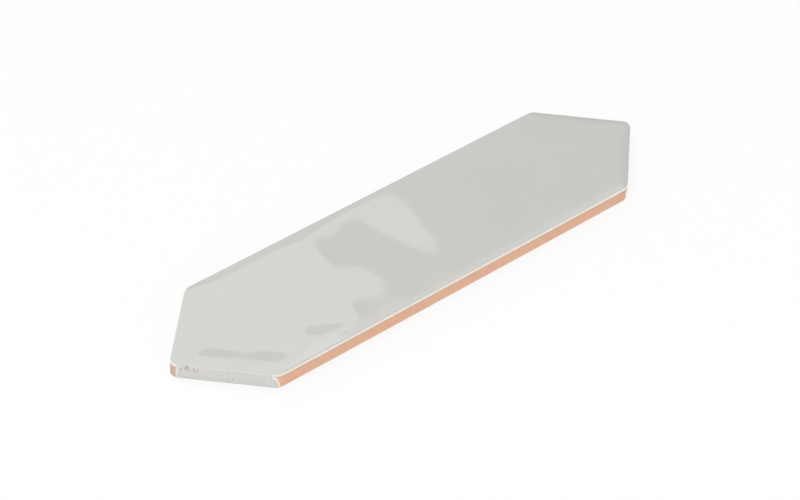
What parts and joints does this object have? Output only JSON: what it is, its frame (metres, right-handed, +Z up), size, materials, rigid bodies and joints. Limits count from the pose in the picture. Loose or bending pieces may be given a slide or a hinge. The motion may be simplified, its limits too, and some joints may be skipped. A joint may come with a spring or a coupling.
{
  "type": "picket tile",
  "caption": "Elongated hexagonal wall tile of pressed red clay with a glossy pale grey glaze on the face and end sides, bare clay long sides and a keyed back.",
  "frame": {"origin": "centre of the flat back, the side that is bedded in adhesive", "axes": "+X along the tile from tip to tip, +Y across the tile, +Z up out of the glazed face"},
  "size_m": [0.3, 0.075, 0.009],
  "materials": {
    "clay": "matt fired red clay, pale terracotta, finely pitted",
    "glaze": "glossy pale warm grey glaze with a gently uneven surface"
  },
  "bodies": {
    "root": {"clay_body": "clay", "glaze_coat": "glaze"}
  },
  "joints": []
}
